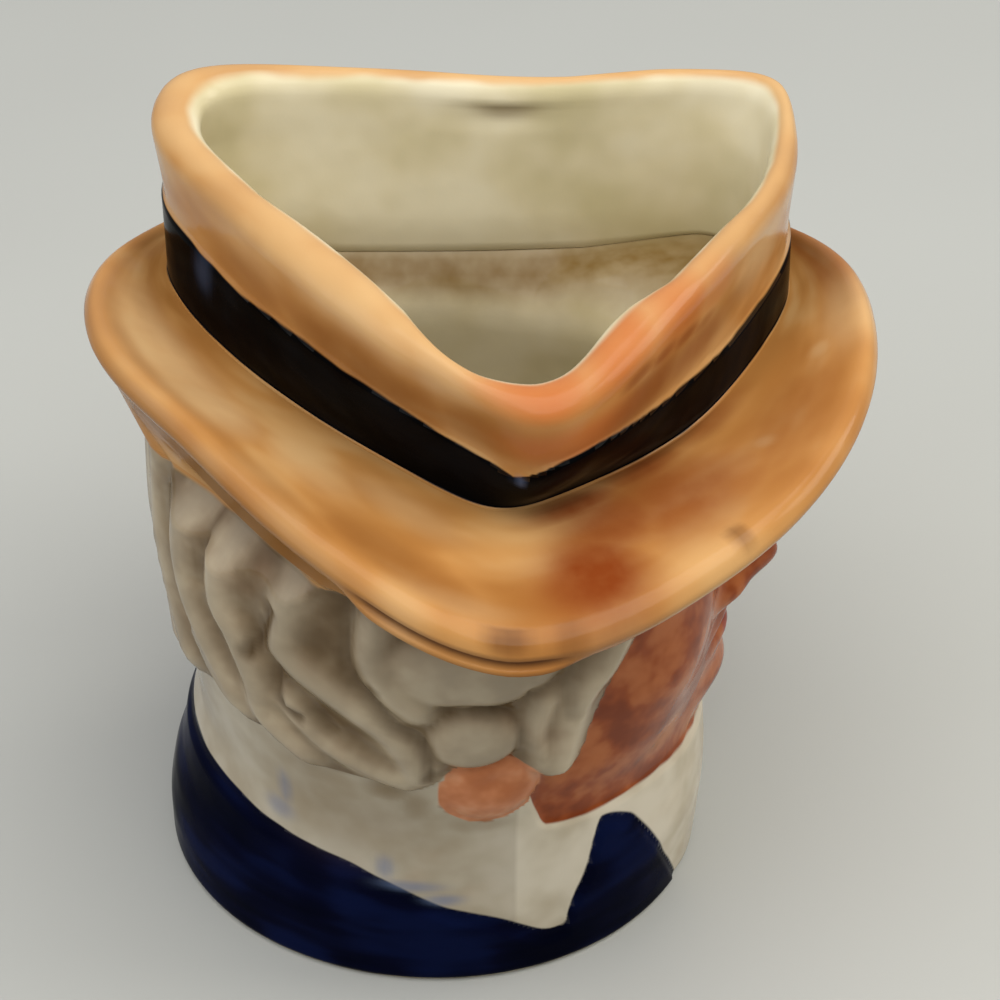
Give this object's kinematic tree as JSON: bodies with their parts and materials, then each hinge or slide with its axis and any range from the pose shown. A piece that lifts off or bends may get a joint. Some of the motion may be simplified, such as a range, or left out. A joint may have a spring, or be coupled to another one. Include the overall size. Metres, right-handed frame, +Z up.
{
  "type": "toby jug",
  "caption": "Small glazed character jug: a figure's head and shoulders, a slouch hat whose triangular crown is the pouring mouth, and a loop handle.",
  "frame": {"origin": "middle of the foot's flat underside, on the body's vertical axis", "axes": "+Z up, -Y the way the figure faces, -X the spout (the figure's right), +X the handle"},
  "size_m": [0.1131, 0.1009, 0.101],
  "materials": {
    "glazed_earthenware": "hand-painted glaze, glossy"
  },
  "bodies": {
    "root": {"toby_jug": "glazed_earthenware"}
  },
  "joints": []
}
